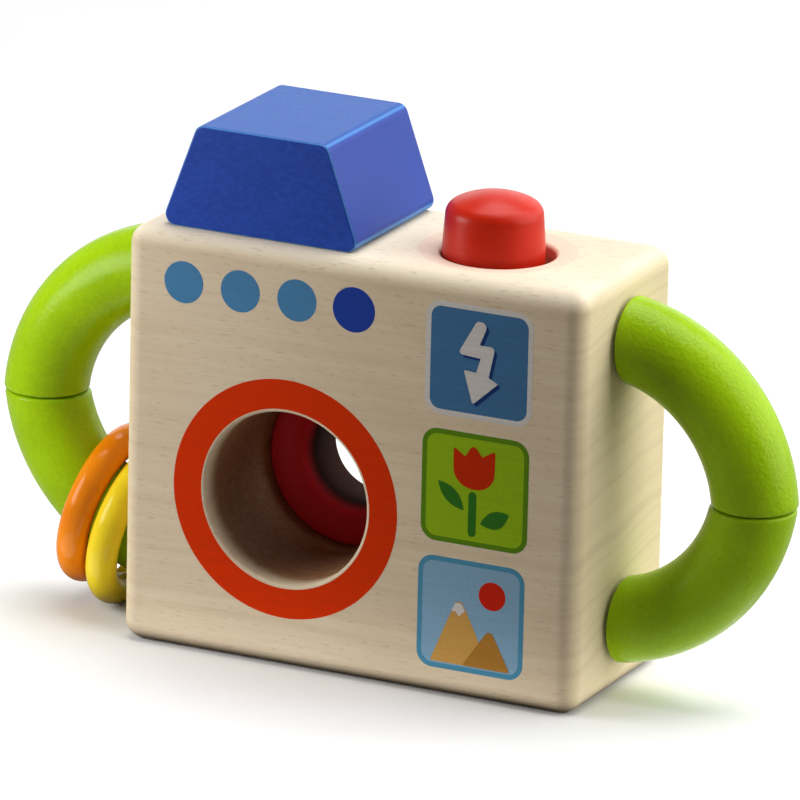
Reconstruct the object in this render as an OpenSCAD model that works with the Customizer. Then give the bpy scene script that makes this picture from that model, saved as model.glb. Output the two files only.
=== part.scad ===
// Wooden toy camera for a small child: a beech block with a view hole through it, a blue block on top,
// a sprung push button, two strung half-ring handles and two loose rings on the left handle.
// Millimetres, +Z up, front face towards -Y. The origin is the middle of the base.

/* [Body] */
// Width of the body
body_w = 100; // [90:0.5:130]
// Height of the body
body_h = 86.3; // [80:0.1:110]
// Depth of the body, front to back
body_d = 42.8; // [40:0.1:60]
// Radius that eases every edge of the body
body_edge_r = 3.9; // [1:0.1:4.2]

/* [View hole] */
// Middle of the view hole, from the left side
lens_from_left = 36.35; // [35:0.05:40]
// Middle of the view hole, above the base
lens_from_base = 35.1; // [34:0.1:37]
// Radius of the view hole
lens_bore_r = 17.8; // [15:0.1:18.5]
// Radius that eases the front rim of the view hole
lens_rim_r = 0.75; // [0.3:0.05:1.5]
// Length of the eyepiece ring, from the back face
eyepiece_len = 14.2; // [12:0.1:20]
// Radius of the eye hole in the eyepiece ring
eyepiece_bore_r = 9.75; // [7:0.05:12]
// Radius that eases the outer front edge of the eyepiece ring
eyepiece_lip_r = 0.8; // [0.3:0.05:1.5]

/* [Viewfinder block] */
// Middle of the block, from the left side
finder_from_left = 27.55; // [26:0.05:30]
// How far the block stands back from the front face
finder_setback = 4.35; // [4:0.05:6]
// Width of the block at its base
finder_base_w = 42.1; // [40:0.1:46]
// Width of the block at its top
finder_top_w = 29.9; // [25:0.1:36]
// Height of the block
finder_h = 21.2; // [16:0.1:30]
// Depth of the block, front to back
finder_d = 35.4; // [30:0.1:36]
// Radius of the block's long edges
finder_edge_r = 2.2; // [1.5:0.1:4]
// Radius that eases the block's front and back edges
finder_end_r = 0.5; // [0.3:0.1:1.4]
// Radius of the dowels under the block
dowel_r = 4; // [3:0.1:4.5]
// Length of the dowels, half of it in the block
dowel_len = 18; // [12:0.5:18]
// Distance between the dowels
dowel_spacing = 18; // [14:0.5:20]

/* [Button] */
// Middle of the button well, from the right side
well_from_right = 28.55; // [28:0.05:32]
// Radius of the button well
well_r = 11.45; // [11.3:0.05:12.5]
// Depth of the button well
well_depth = 32; // [30:0.5:36]
// Radius that eases the mouth of the well
well_mouth_r = 0.9; // [0.4:0.1:1.5]
// Radius of the shallow dish round the well
dish_r = 16.2; // [14:0.1:17]
// Depth of the shallow dish
dish_depth = 0.4; // [0.2:0.05:0.8]
// Radius of the button where it leaves the well
button_r = 10.25; // [9:0.05:10.25]
// Radius of the button at its shoulder
button_top_r = 9.75; // [8.5:0.05:10]
// Height of the button above the body
button_rise = 11.7; // [8:0.1:14]
// Radius of the button's shoulder
button_shoulder_r = 3; // [1.5:0.1:4]
// Height of the button's crown over its shoulder
button_crown = 1.6; // [0.3:0.1:2]
// Length of the button below the top of the body
button_sunk = 18; // [17:0.1:20]
// How far the loose button leans to the left in its well
button_lean = 1; // [0:0.05:1]
// Travel of the button
button_travel = 5; // [2:0.1:5]
// Radius of the pin that stops the button
stop_pin_r = 2; // [1.2:0.1:2.2]
// Depth of the stop pin's middle below the top of the body
stop_pin_depth = 8.3; // [8:0.1:9]
// Depth of the spring pocket under the button
pocket_depth = 6; // [4:0.1:7]
// Mean radius of the spring
spring_r = 5; // [4:0.1:6]
// Radius of the spring wire
spring_wire_r = 0.5; // [0.3:0.05:0.6]
// Turns of the spring
spring_turns = 8; // [5:1:10]

/* [Handles] */
// How far the handles' middle lies above the middle of the body
handle_above_middle = 0.5; // [-1:0.05:5]
// Radius of the round handle segments
seg_r = 8.6; // [6:0.1:8.8]
// Radius of each segment's arc, to its middle line
seg_arc_r = 33; // [30:0.1:34]
// How far each arc's centre lies inside the side of the body
arc_inset = 4.7; // [3:0.1:5.5]
// How far each arc's centre lies past the handle's middle
arc_drop = 3.6; // [1:0.1:4]
// How far the joint between two segments lies below the handle's middle
seam_drop = 1.1; // [0:0.1:2]
// Bevel round the ends of each segment
seg_bevel = 0.7; // [0.2:0.1:1.5]
// Radius of the elastic cord
cord_r = 1.5; // [1:0.1:1.6]
// Radius of the plugs that hold the cord's ends
plug_r = 4; // [3:0.1:4.5]
// Length of the plugs that hold the cord's ends
plug_len = 12; // [9:0.5:13]

/* [Loose rings] */
// Radius of the loose rings, to the middle of their section
ring_r = 14; // [13.8:0.05:15]
// How far the rings' middles lie inside the middle line of the handle
ring_inset = 0.4; // [0:0.1:1]
// Radius of the loose rings' section
ring_section_r = 3.2; // [2.5:0.05:3.2]
// How far the yellow ring hangs clear of the surface that the camera stands on
ring_rest_gap = 0.15; // [0.1:0.05:3]
// Least distance of the yellow ring from the side of the body
ring_side_gap = 0.6; // [0.3:0.1:2]
// Angle by which the yellow ring leans from square to the handle
yellow_lean_angle = 8; // [0:0.1:10]
// Angle by which the orange ring leans from square to the handle
orange_lean_angle = 19.5; // [0:0.1:20]
// Angle along the handle's arc from the yellow ring up to the orange ring
ring_step_angle = 13; // [13:0.1:25]

/* [Fits] */
// Clearance of glued pieces in their holes
glue_gap = 0.05; // [0.02:0.01:0.1]
// Clearance of the cord in its bores
cord_gap = 0.4; // [0.2:0.05:0.6]
// Clearance between a handle and the side of the body
seat_gap = 0.7; // [0.3:0.05:0.8]
// Clearance between the two segments of a handle
seam_gap = 0.3; // [0.1:0.05:0.5]
// Clearance of the stop pin in the button's slot, and of the spring at its ends
slot_gap = 0.3; // [0.2:0.05:0.5]

/* [Hidden] */
$fn = 64;
hull_fn = 32;
eps = 0.01;

lens_x = lens_from_left - body_w / 2;
eyepiece_r = lens_bore_r - glue_gap;
mouth_r = eyepiece_r - eyepiece_lip_r - eyepiece_bore_r;
finder_x = finder_from_left - body_w / 2;
finder_y = finder_setback + finder_d / 2 - body_d / 2;
well_x = body_w / 2 - well_from_right;
button_x = well_x - button_lean;
button_base_z = body_h - button_sunk;
well_floor_z = body_h - well_depth;
stop_pin_z = body_h - stop_pin_depth;
stop_pin_bite = 4;
pocket_r = spring_r + spring_wire_r + slot_gap;
spring_bottom_z = well_floor_z + slot_gap;
spring_top_z = button_base_z + pocket_depth - slot_gap;
cord_bore_r = cord_r + cord_gap;
handle_z = body_h / 2 + handle_above_middle;
seam_z = handle_z - seam_drop;
arc_x = body_w / 2 - arc_inset;
seam_x = arc_x + sqrt(pow(seg_arc_r, 2) - pow(arc_drop, 2));
cord_bend_r = 0.15;
arc_spare = 15;
seat_rise = sqrt(pow(seg_arc_r, 2) - pow(arc_inset, 2)) - arc_drop;
upper_seat_z = handle_z + seat_rise;
lower_seat_z = handle_z - seat_rise;
// The yellow ring slides down its arc until it comes to the base's level or near the side of the body.
ring_arc_r = seg_arc_r - ring_inset;
ring_along = ring_r * cos(yellow_lean_angle);
ring_across = ring_r * sin(yellow_lean_angle);
down_reach = [ring_arc_r + ring_along, ring_across];
side_reach = [ring_arc_r - ring_along, ring_across];
base_room = handle_z + arc_drop - ring_section_r - ring_rest_gap;
side_room = arc_inset + ring_section_r + ring_side_gap;
at_base = asin(min(1, base_room / norm(down_reach))) - atan2(ring_across, down_reach[0]);
at_side = acos(side_room / norm(side_reach)) + atan2(ring_across, side_reach[0]);
yellow_at = min(at_base, at_side);
orange_at = yellow_at - ring_step_angle;

// Quarter of a square outside its inscribed round, used to ease a corner at the origin's far side.
module corner_cut(r) {
  difference() {
    square(r + eps);
    circle(r);
  }
}

// Ball whose poles and equator lie exactly on its radius.
module corner_ball(r) {
  rotate_extrude($fn = hull_fn) intersection() {
    circle(r, $fn = hull_fn);
    translate([0, -r]) square([r, 2 * r]);
  }
}

// Block with every edge and corner eased, standing on its base.
module eased_block(w, d, h, r) {
  hull() for (sx = [-1, 1], sy = [-1, 1], z = [r, h - r])
    translate([sx * (w / 2 - r), sy * (d / 2 - r), z]) corner_ball(r);
}

// Rod along Y whose ends are eased with a small radius.
module eased_rod(r, len, end_r) {
  for (a = [0 : 22.5 : 90])
    rotate([90, 0, 0])
      cylinder(r = r - end_r * (1 - cos(a)), h = len - 2 * end_r * (1 - sin(a)), center = true, $fn = hull_fn);
}

module dowel_hole(x, z, depth) {
  translate([x, finder_y, z]) cylinder(r = dowel_r + glue_gap, h = depth);
}

// View hole with its eased front rim.
module lens_hole() {
  translate([lens_x, 0, lens_from_base]) rotate([90, 0, 0]) {
    cylinder(r = lens_bore_r, h = body_d + 2 * eps, center = true);
    translate([0, 0, body_d / 2 - lens_rim_r]) rotate_extrude()
      translate([lens_bore_r + lens_rim_r, 0]) mirror([1, 0]) difference() {
        square([lens_rim_r + eps, lens_rim_r + eps]);
        circle(lens_rim_r);
      }
  }
}

// Button well with its eased mouth and the shallow dish round it.
module button_well() {
  translate([well_x, 0, body_h]) {
    translate([0, 0, -well_depth]) cylinder(r = well_r, h = well_depth + eps);
    rotate_extrude() {
      translate([well_r + well_mouth_r, -dish_depth - well_mouth_r]) mirror([1, 0]) corner_cut(well_mouth_r);
      polygon([
        [0, eps], [0, -dish_depth], [well_r + well_mouth_r, -dish_depth], [dish_r, 0], [dish_r, eps]
      ]);
    }
  }
}

// Cross hole for the stop pin, open at the back.
module stop_pin_rod(r) {
  translate([button_x, body_d / 2, stop_pin_z]) rotate([90, 0, 0])
    cylinder(r = r, h = body_d / 2 + well_r + stop_pin_bite);
}

module plug_hole(side, z) {
  translate([side * (body_w / 2 + eps), 0, z]) rotate([0, -side * 90, 0])
    cylinder(r = plug_r + glue_gap, h = plug_len + eps);
}

// One round arc of a handle on the right side: up is 1 for the upper arc and -1 for the lower one.
module handle_arc(up, r) {
  translate([arc_x, 0, handle_z - up * arc_drop]) rotate([90, 0, 0])
    rotate([0, 0, up > 0 ? -arc_spare : -90 - arc_spare])
      rotate_extrude(angle = 90 + 2 * arc_spare) translate([seg_arc_r, 0]) circle(r);
}

// Room for a segment beyond one of its end faces: a short cone that bevels the edge, then open space.
module segment_room() {
  face_r = seg_r - seg_bevel;
  cone_h = 2 * seg_bevel;
  cylinder(r1 = face_r, r2 = face_r + cone_h, h = cone_h);
  translate([-2 * seg_arc_r, -2 * seg_r, cone_h]) cube([4 * seg_arc_r, 4 * seg_r, 2 * seg_arc_r]);
}

// One segment, from its seat on the side of the body to the seam in the middle of the handle.
module handle_segment(up) {
  intersection() {
    difference() {
      handle_arc(up, seg_r);
      handle_arc(up, cord_bore_r);
    }
    translate([body_w / 2 + seat_gap, 0, handle_z + up * seat_rise]) rotate([0, 90, 0]) segment_room();
    translate([seam_x, 0, seam_z + up * seam_gap / 2]) rotate([up > 0 ? 0 : 180, 0, 0]) segment_room();
  }
}

// Elastic cord of one handle: two arcs and a straight tail into each plug, with a round bend where they meet.
module handle_cord() {
  bend_r = cord_r + cord_bend_r;
  tail_len = plug_len - slot_gap;
  for (up = [-1, 1]) {
    seat_z = handle_z + up * seat_rise;
    intersection() {
      handle_arc(up, cord_r);
      translate([body_w / 2, -2 * seg_r, up > 0 ? seam_z : seam_z - 2 * seg_arc_r])
        cube([2 * seg_arc_r, 4 * seg_r, 2 * seg_arc_r]);
    }
    translate([body_w / 2, 0, seat_z]) sphere(bend_r);
    translate([body_w / 2 - tail_len, 0, seat_z]) rotate([0, 90, 0]) cylinder(r = cord_r, h = tail_len);
  }
  translate([seam_x, 0, seam_z]) sphere(bend_r);
}

module cord_plug(side, z) {
  color("burlywood") translate([side * (body_w / 2 - plug_len), 0, z]) rotate([0, side * 90, 0]) difference() {
    cylinder(r = plug_r, h = plug_len);
    translate([0, 0, -eps]) cylinder(r = cord_bore_r, h = plug_len + 2 * eps);
  }
}

// Loose ring round the lower left arc, at an angle below level and leaning from square to the handle.
module loose_ring(at, lean) {
  translate([-arc_x, 0, handle_z + arc_drop]) rotate([0, -at, 0]) translate([-ring_arc_r, 0, 0])
    rotate([0, -lean, 0]) rotate_extrude() translate([ring_r, 0]) circle(ring_section_r);
}

module finder_dowel(x) {
  color("burlywood") translate([x, finder_y, body_h - dowel_len / 2]) cylinder(r = dowel_r, h = dowel_len);
}

module body_block() {
  color("bisque") difference() {
    eased_block(body_w, body_d, body_h, body_edge_r);
    lens_hole();
    button_well();
    for (s = [-1, 1]) {
      dowel_hole(finder_x + s * dowel_spacing / 2, body_h - dowel_len / 2, dowel_len);
      plug_hole(s, upper_seat_z);
      plug_hole(s, lower_seat_z);
    }
    stop_pin_rod(stop_pin_r + glue_gap);
  }
}

module viewfinder_block() {
  color("royalblue") difference() {
    hull() for (s = [-1, 1]) {
      translate([finder_x + s * (finder_base_w / 2 - finder_edge_r), finder_y, body_h + finder_edge_r])
        eased_rod(finder_edge_r, finder_d, finder_end_r);
      translate([finder_x + s * (finder_top_w / 2 - finder_edge_r), finder_y, body_h + finder_h - finder_edge_r])
        eased_rod(finder_edge_r, finder_d, finder_end_r);
    }
    for (s = [-1, 1])
      dowel_hole(finder_x + s * dowel_spacing / 2, body_h - eps, dowel_len / 2 + eps);
  }
}

module viewfinder_left_dowel() {
  finder_dowel(finder_x - dowel_spacing / 2);
}

module viewfinder_right_dowel() {
  finder_dowel(finder_x + dowel_spacing / 2);
}

// Turned ring with a bell mouth, flush with the back face.
module eyepiece_ring() {
  color("firebrick") translate([lens_x, body_d / 2, lens_from_base]) rotate([90, 0, 0]) rotate_extrude()
    difference() {
      translate([eyepiece_bore_r, 0]) square([eyepiece_r - eyepiece_bore_r, eyepiece_len]);
      translate([eyepiece_bore_r + mouth_r, eyepiece_len - mouth_r]) mirror([1, 0]) corner_cut(mouth_r);
      translate([eyepiece_r - eyepiece_lip_r, eyepiece_len - eyepiece_lip_r]) corner_cut(eyepiece_lip_r);
    }
}

// Push button: a turned peg with a crowned top, a slot for the stop pin and a spring pocket below.
module shutter_button() {
  shoulder_z = button_sunk + button_rise - button_shoulder_r - button_crown;
  shoulder_x = button_top_r - button_shoulder_r;
  // The crown's arc and the shoulder's arc touch at crown_edge and share one tangent there.
  arc_apart = (pow(shoulder_x, 2) + pow(button_crown, 2)) / (2 * button_crown);
  crown_r = arc_apart + button_shoulder_r;
  crown_edge = shoulder_x * crown_r / arc_apart;
  color("orangered") translate([button_x, 0, button_base_z]) difference() {
    rotate_extrude() {
      square([button_r, button_sunk]);
      polygon([[0, button_sunk], [button_r, button_sunk], [button_top_r, shoulder_z], [0, shoulder_z]]);
      translate([shoulder_x, shoulder_z]) circle(button_shoulder_r);
      intersection() {
        translate([0, shoulder_z + button_shoulder_r + button_crown - crown_r]) circle(crown_r, $fn = 256);
        translate([0, shoulder_z]) square([crown_edge, button_shoulder_r + button_crown]);
      }
    }
    translate([0, 0, -eps]) cylinder(r = pocket_r, h = pocket_depth + eps);
    slot_low = button_sunk - stop_pin_depth;
    hull() for (z = [slot_low, slot_low + button_travel])
      translate([0, 0, z]) rotate([90, 0, 0])
        cylinder(r = stop_pin_r + slot_gap, h = 2 * well_r, center = true, $fn = hull_fn);
  }
}

// One unbroken helical tube.
module button_spring() {
  rings = spring_turns * 8;
  sides = 6;
  low = spring_bottom_z + spring_wire_r;
  rise = spring_top_z - spring_bottom_z - 2 * spring_wire_r;
  path = [for (i = [0 : rings]) [spring_r * cos(i * 45), spring_r * sin(i * 45), low + rise * i / rings]];
  points = [
    for (i = [0 : rings], k = [0 : sides - 1])
      let (a = k * 360 / sides, out = spring_r + spring_wire_r * cos(a))
        [out * cos(i * 45), out * sin(i * 45), path[i][2] + spring_wire_r * sin(a)]
  ];
  walls = [
    for (i = [0 : rings - 1], k = [0 : sides - 1])
      let (n = (k + 1) % sides, p = i * sides, q = p + sides)
        each [[p + k, q + k, q + n], [p + k, q + n, p + n]]
  ];
  ends = [
    for (k = [1 : sides - 2])
      each [[0, k, k + 1], [rings * sides, rings * sides + k + 1, rings * sides + k]]
  ];
  echo(spring_least_gap = rise / spring_turns - 2 * spring_wire_r);
  color("silver") translate([button_x, 0, 0]) polyhedron(points = points, faces = concat(walls, ends));
}

module button_stop_pin() {
  color("burlywood") stop_pin_rod(stop_pin_r);
}

module left_upper_segment() {
  color("yellowgreen") rotate([0, 0, 180]) handle_segment(1);
}

module left_lower_segment() {
  color("yellowgreen") rotate([0, 0, 180]) handle_segment(-1);
}

module left_cord() {
  color("dimgray") rotate([0, 0, 180]) handle_cord();
}

module left_upper_plug() {
  cord_plug(-1, upper_seat_z);
}

module left_lower_plug() {
  cord_plug(-1, lower_seat_z);
}

module right_upper_segment() {
  color("yellowgreen") handle_segment(1);
}

module right_lower_segment() {
  color("yellowgreen") handle_segment(-1);
}

module right_cord() {
  color("dimgray") handle_cord();
}

module right_upper_plug() {
  cord_plug(1, upper_seat_z);
}

module right_lower_plug() {
  cord_plug(1, lower_seat_z);
}

module orange_ring() {
  color("darkorange") loose_ring(orange_at, orange_lean_angle);
}

module yellow_ring() {
  color("gold") loose_ring(yellow_at, yellow_lean_angle);
}

body_block();
viewfinder_block();
viewfinder_left_dowel();
viewfinder_right_dowel();
eyepiece_ring();
shutter_button();
button_spring();
button_stop_pin();
left_upper_segment();
left_lower_segment();
left_cord();
left_upper_plug();
left_lower_plug();
right_upper_segment();
right_lower_segment();
right_cord();
right_upper_plug();
right_lower_plug();
orange_ring();
yellow_ring();
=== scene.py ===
import math

import bmesh
import bpy
from mathutils import Matrix, Vector


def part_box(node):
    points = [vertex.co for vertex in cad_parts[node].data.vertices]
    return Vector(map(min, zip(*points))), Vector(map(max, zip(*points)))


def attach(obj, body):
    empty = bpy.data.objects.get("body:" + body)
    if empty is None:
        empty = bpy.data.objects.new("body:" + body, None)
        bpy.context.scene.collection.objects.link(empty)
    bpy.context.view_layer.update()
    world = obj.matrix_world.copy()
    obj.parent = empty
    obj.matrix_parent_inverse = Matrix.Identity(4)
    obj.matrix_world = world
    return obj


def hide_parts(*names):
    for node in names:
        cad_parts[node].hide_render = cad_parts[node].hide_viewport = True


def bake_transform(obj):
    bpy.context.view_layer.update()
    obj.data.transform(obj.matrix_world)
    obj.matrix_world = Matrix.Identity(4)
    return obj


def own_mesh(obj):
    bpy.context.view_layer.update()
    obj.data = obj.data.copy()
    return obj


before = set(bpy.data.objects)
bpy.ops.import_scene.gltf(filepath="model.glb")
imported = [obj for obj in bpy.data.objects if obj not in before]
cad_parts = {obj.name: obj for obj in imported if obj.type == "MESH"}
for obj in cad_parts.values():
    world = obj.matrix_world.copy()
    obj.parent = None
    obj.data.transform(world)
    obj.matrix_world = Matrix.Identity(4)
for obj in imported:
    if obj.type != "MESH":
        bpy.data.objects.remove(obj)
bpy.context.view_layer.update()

mm = 0.001
fullTurn = 2 * math.pi
backwards = Vector((0, 1, 0))
creaseAngle = 35  # degrees; flatter edges are shaded smooth


# Camera, at the photograph's viewing angle

photoView = {
    "target": (0.011052, -0.0214, 0.059557),
    "distance": 2.0,
    "yaw": 25.606,  # degrees
    "pitch": 17.352,
    "roll": 1.322,
    "lens": 459.864,
    "sensor": 36,
}


def addCamera():
    yaw = math.radians(photoView["yaw"])
    pitch = math.radians(photoView["pitch"])
    roll = math.radians(photoView["roll"])
    level = math.cos(pitch)
    back = Vector((math.sin(yaw) * level, -math.cos(yaw) * level, math.sin(pitch)))
    side = Vector((0, 0, 1)).cross(back).normalized()
    over = back.cross(side)
    tiltedSide = side * math.cos(roll) + over * math.sin(roll)
    tiltedOver = over * math.cos(roll) - side * math.sin(roll)
    lens = bpy.data.cameras.new("photoCamera")
    lens.lens = photoView["lens"]
    lens.sensor_width = photoView["sensor"]
    camera = bpy.data.objects.new("photoCamera", lens)
    bpy.context.scene.collection.objects.link(camera)
    turn = Matrix((tiltedSide, tiltedOver, back)).transposed().to_4x4()
    stand = Vector(photoView["target"]) + back * photoView["distance"]
    camera.matrix_world = Matrix.Translation(stand) @ turn
    bpy.context.scene.camera = camera


addCamera()
print("camera placed")


# Shader maths: a wire is one socket, and Python's operators on wires add Math nodes

class Wire:
    def __init__(self, tree, socket=None):
        self.tree = tree
        self.socket = socket

    def feed(self, target, value):
        if isinstance(value, Wire):
            self.tree.links.new(value.socket, target)
        else:
            target.default_value = value

    def node(self, kind, settings, sockets, output=0):
        made = self.tree.nodes.new("ShaderNode" + kind)
        for key, value in settings.items():
            setattr(made, key, value)
        for key, value in sockets.items():
            self.feed(made.inputs[key], value)
        return Wire(self.tree, made.outputs[output] if made.outputs else None)

    def maths(self, operation, first, second):
        return self.node("Math", {"operation": operation}, {0: first, 1: second})

    def __add__(self, other):
        return self.maths("ADD", self, other)

    def __radd__(self, other):
        return self.maths("ADD", other, self)

    def __sub__(self, other):
        return self.maths("SUBTRACT", self, other)

    def __rsub__(self, other):
        return self.maths("SUBTRACT", other, self)

    def __mul__(self, other):
        return self.maths("MULTIPLY", self, other)

    def __rmul__(self, other):
        return self.maths("MULTIPLY", other, self)

    def __abs__(self):
        return self.maths("ABSOLUTE", self, 0.0)

    def part(self, name):
        return self.node("SeparateXYZ", {}, {0: self}, name)

    def stretched(self, scales):
        return self.node("VectorMath", {"operation": "MULTIPLY"}, {0: self, 1: scales})

    def length(self):
        return self.node("VectorMath", {"operation": "LENGTH"}, {0: self}, "Value")

    def distance(self, point, scales):
        # a scale of 0 leaves that direction out
        apart = self.node("VectorMath", {"operation": "SUBTRACT"}, {0: self, 1: point})
        return apart.stretched(scales).length()

    def noise(self, scales, detail=2.0):
        sockets = {"Vector": self.stretched(scales), "Scale": 1.0, "Detail": detail}
        return self.node("TexNoise", {}, sockets)

    def ramp(self, low, high):
        settings = {"interpolation_type": "SMOOTHSTEP"}
        return self.node("MapRange", settings, {"Value": self, "From Min": low, "From Max": high})

    def mix(self, first, second):
        # sockets 6 and 7 and output 2 are the colours of the Mix node
        tints = [tint if isinstance(tint, Wire) else (*tint, 1) for tint in (first, second)]
        settings = {"data_type": "RGBA"}
        return self.node("Mix", settings, {0: self, 6: tints[0], 7: tints[1]}, 2)

    def bump(self, height, strength):
        return self.node("Bump", {}, {"Height": self, "Distance": height, "Strength": strength})


def startMaterial(name):
    material = bpy.data.materials.new(name)
    material.use_nodes = True
    material.node_tree.nodes.clear()
    tree = Wire(material.node_tree)
    place = tree.node("TexCoord", {}, {}, "Object")  # metres in the part's own frame
    return material, tree, place


def endMaterial(tree, sockets):
    surface = tree.node("BsdfPrincipled", {}, sockets)
    tree.node("OutputMaterial", {}, {"Surface": surface})


def fromViewAxis(place):
    return place.distance((viewHole["x"], 0, viewHole["z"]), (1, 0, 1))


# Finishes; noise scales are per metre along x, y and z

beech = {
    "pale": (0.82, 0.69, 0.50),
    "tan": (0.70, 0.55, 0.37),
    "fleck": (0.46, 0.32, 0.20),
    "paintedSheen": (0.84, 0.74, 0.58),  # painted sheen: paler top face
    "paintedRedBounce": (0.82, 0.55, 0.44),  # painted reflection of the red button in the dish round it
    "endGrainWithBounce": (0.84, 0.71, 0.45),  # yellower end grain, partly painted yellow-green bounce from the handles
    "late": (0.66, 0.52, 0.31),  # its darker growth lines
    "paintedHoleShade": (0.30, 0.14, 0.060),  # painted shade on the wall of the view hole
    "heart": (0.0, 0.03, -0.19),  # middle of the tree, metres
    "ringsPerMetre": 430,
    "ringSway": 2.5,
    "swayScale": (14, 40, 40),
    "cloudScale": (30, 60, 60),
    "fibreScale": (50, 1500, 1500),
    "fleckScale": (360, 1500, 2200),
    "lumpScale": (240, 240, 240),
    "shadeRange": (0.24, 0.76),
    "fleckRange": (0.58, 0.78),
    "fleckShare": 0.40,
    "lateRange": (0.40, 0.72),
    "lateShare": 0.35,
    "tanOnTop": 0.35,
    "sawnShare": 0.85,
    "redBounceShare": 0.45,
    "faceFrom": 3.0 * mm,  # depth under a face where its own tint begins
    "faceTo": 0.5 * mm,
    "dishFade": 0.6 * mm,
    "wallFrom": 0.8 * mm,  # depth in the view hole where the painted shade on its wall begins
    "wallTo": 6.0 * mm,
    "skinFrom": 0.02 * mm,  # only this near the wall
    "skinTo": 0.12 * mm,
    "rough": 0.55,
    "specular": 0.14,
    "relief": 0.03 * mm,
    "bump": 0.6,
}


def beechWood():
    material, tree, place = startMaterial("beechWood")
    radius = place.distance(beech["heart"], (0, 1, 1))
    years = radius * beech["ringsPerMetre"] + place.noise(beech["swayScale"]) * beech["ringSway"]
    bands = tree.node("TexNoise", {"noise_dimensions": "1D"}, {"W": years, "Scale": 1.0, "Detail": 2.0})
    cloud = place.noise(beech["cloudScale"])
    fibre = place.noise(beech["fibreScale"], 3.0)
    fleck = place.noise(beech["fleckScale"], 1.0).ramp(*beech["fleckRange"])
    shade = (bands * 0.35 + cloud * 0.4 + fibre * 0.25).ramp(*beech["shadeRange"])
    wood = shade.mix(beech["pale"], beech["tan"])
    # painted sheen: the top face is made paler
    onTop = place.part("Z").ramp(bodyHigh.z - beech["faceFrom"], bodyHigh.z - beech["faceTo"])
    wood = (onTop * (1 - shade * beech["tanOnTop"])).mix(wood, beech["paintedSheen"])
    # end grain on the sides, tinted yellower: its own tone plus painted bounce from the green handles
    endGrain = abs(place.part("X")).ramp(bodyHigh.x - beech["faceFrom"], bodyHigh.x - beech["faceTo"])
    late = bands.ramp(*beech["lateRange"]) * beech["lateShare"]
    endGrainWithBounce = late.mix(beech["endGrainWithBounce"], beech["late"])
    wood = (endGrain * (1 - onTop) * beech["sawnShare"]).mix(wood, endGrainWithBounce)
    fleck = fleck * (1 - endGrain * beech["sawnShare"])
    wood = (fleck * beech["fleckShare"]).mix(wood, beech["fleck"])
    # painted reflection: the dish round the button is tinted red
    fromWell = place.distance((well["x"], 0, 0), (1, 1, 0))
    dish = onTop * (1 - fromWell.ramp(well["dishRadius"] - beech["dishFade"], well["dishRadius"]))
    wood = (dish * beech["redBounceShare"]).mix(wood, beech["paintedRedBounce"])
    # painted shade: the wall of the view hole darkens with depth
    depth = place.part("Y").ramp(bodyLow.y + beech["wallFrom"], bodyLow.y + beech["wallTo"])
    hole = viewHole["radius"]
    wall = 1 - fromViewAxis(place).ramp(hole + beech["skinFrom"], hole + beech["skinTo"])
    wood = (depth * wall * (0.75 + fibre * 0.4)).mix(wood, beech["paintedHoleShade"])
    relief = fibre * 0.6 - fleck * 0.8 + place.noise(beech["lumpScale"]) * 0.3
    endMaterial(tree, {
        "Base Color": wood,
        "Roughness": beech["rough"] + (fibre - 0.5) * 0.25 + fleck * 0.1,
        "Specular IOR Level": beech["specular"],
        "Normal": relief.bump(beech["relief"], beech["bump"]),
    })
    return material


blueStain = {
    "deep": (0.008, 0.050, 0.36),
    "bright": (0.013, 0.068, 0.45),
    "paintedTopSheen": (0.014, 0.105, 0.40),  # painted sheen on the top face
    "paintedSheen": (0.030, 0.060, 0.33),  # painted sheen on the sloping ends
    "worn": (0.09, 0.30, 0.66),  # stain worn thin along the edges, plus painted edge highlight
    "slope": 18.8,  # about that of the block's ends, degrees from upright
    "fibreScale": (900, 1200, 1400),
    "cloudScale": (90, 140, 140),
    "poreScale": (1500, 2600, 2600),
    "toneRange": (0.28, 0.72),
    "poreRange": (0.6, 0.75),
    "poreShare": 0.35,
    "topRange": (0.86, 0.98),  # how squarely a surface faces up, along the slope or any flat side
    "slopeRange": (0.90, 0.98),
    "flatRange": (0.86, 0.93),
    "rough": 0.42,
    "specular": 0.24,
    "relief": 0.02 * mm,
    "bump": 0.6,
}


def stainedWood():
    material, tree, place = startMaterial("stainedWood")
    fibre = place.noise(blueStain["fibreScale"], 3.0)
    cloud = place.noise(blueStain["cloudScale"])
    pore = place.noise(blueStain["poreScale"], 1.0).ramp(*blueStain["poreRange"])
    tone = (fibre * 0.7 + cloud * 0.3).ramp(*blueStain["toneRange"])
    facing = tree.node("TexCoord", {}, {}, "Normal")
    upwards = facing.part("Z")
    slope = math.radians(blueStain["slope"])
    sloping = abs(facing.part("X")) * math.cos(slope) + upwards * math.sin(slope)
    flat = tree.maths("MAXIMUM", tree.maths("MAXIMUM", abs(facing.part("Y")), upwards), sloping)
    tint = tone.mix(blueStain["deep"], blueStain["bright"])
    # painted sheen: the top face is paler and cyan
    onTop = upwards.ramp(*blueStain["topRange"])
    tint = (onTop * (0.6 + tone * 0.4)).mix(tint, blueStain["paintedTopSheen"])
    # painted sheen: the sloping ends are paler
    onSlope = sloping.ramp(*blueStain["slopeRange"])
    tint = (onSlope * (0.5 + tone * 0.4)).mix(tint, blueStain["paintedSheen"])
    tint = (pore * blueStain["poreShare"]).mix(tint, blueStain["deep"])
    # lighter rounded edges: stain worn thin, plus painted edge highlight
    worn = (1 - flat.ramp(*blueStain["flatRange"])) * (0.5 + fibre * 0.4)
    relief = fibre * 0.8 - pore * 0.4
    endMaterial(tree, {
        "Base Color": worn.mix(tint, blueStain["worn"]),
        "Roughness": blueStain["rough"] + (fibre - 0.5) * 0.25,
        "Specular IOR Level": blueStain["specular"],
        "Normal": relief.bump(blueStain["relief"], blueStain["bump"]),
    })
    return material


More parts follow.
